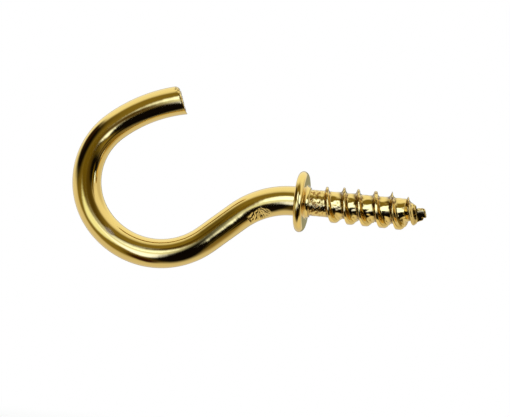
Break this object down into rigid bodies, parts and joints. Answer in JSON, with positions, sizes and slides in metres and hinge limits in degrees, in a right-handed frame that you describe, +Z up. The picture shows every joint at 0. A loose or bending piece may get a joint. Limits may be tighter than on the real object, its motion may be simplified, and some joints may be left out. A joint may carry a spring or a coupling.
{
  "type": "cup hook",
  "caption": "Screw-in cup hook: round brass-plated wire bent to an open loop, with a round collar that seats on the board and a tapered wood-screw thread.",
  "frame": {"origin": "centre of the collar's seat face, on the screw's axis", "axes": "+X along the screw towards its point, +Z up with the loop's mouth open at the top, loop in the XZ plane"},
  "size_m": [0.0402, 0.0068, 0.0204],
  "materials": {
    "brass_plate": "bright brass electroplate on drawn steel wire, polished on the loop and rough on the neck and thread roots"
  },
  "bodies": {
    "root": {"cup_hook": "brass_plate"}
  },
  "joints": []
}
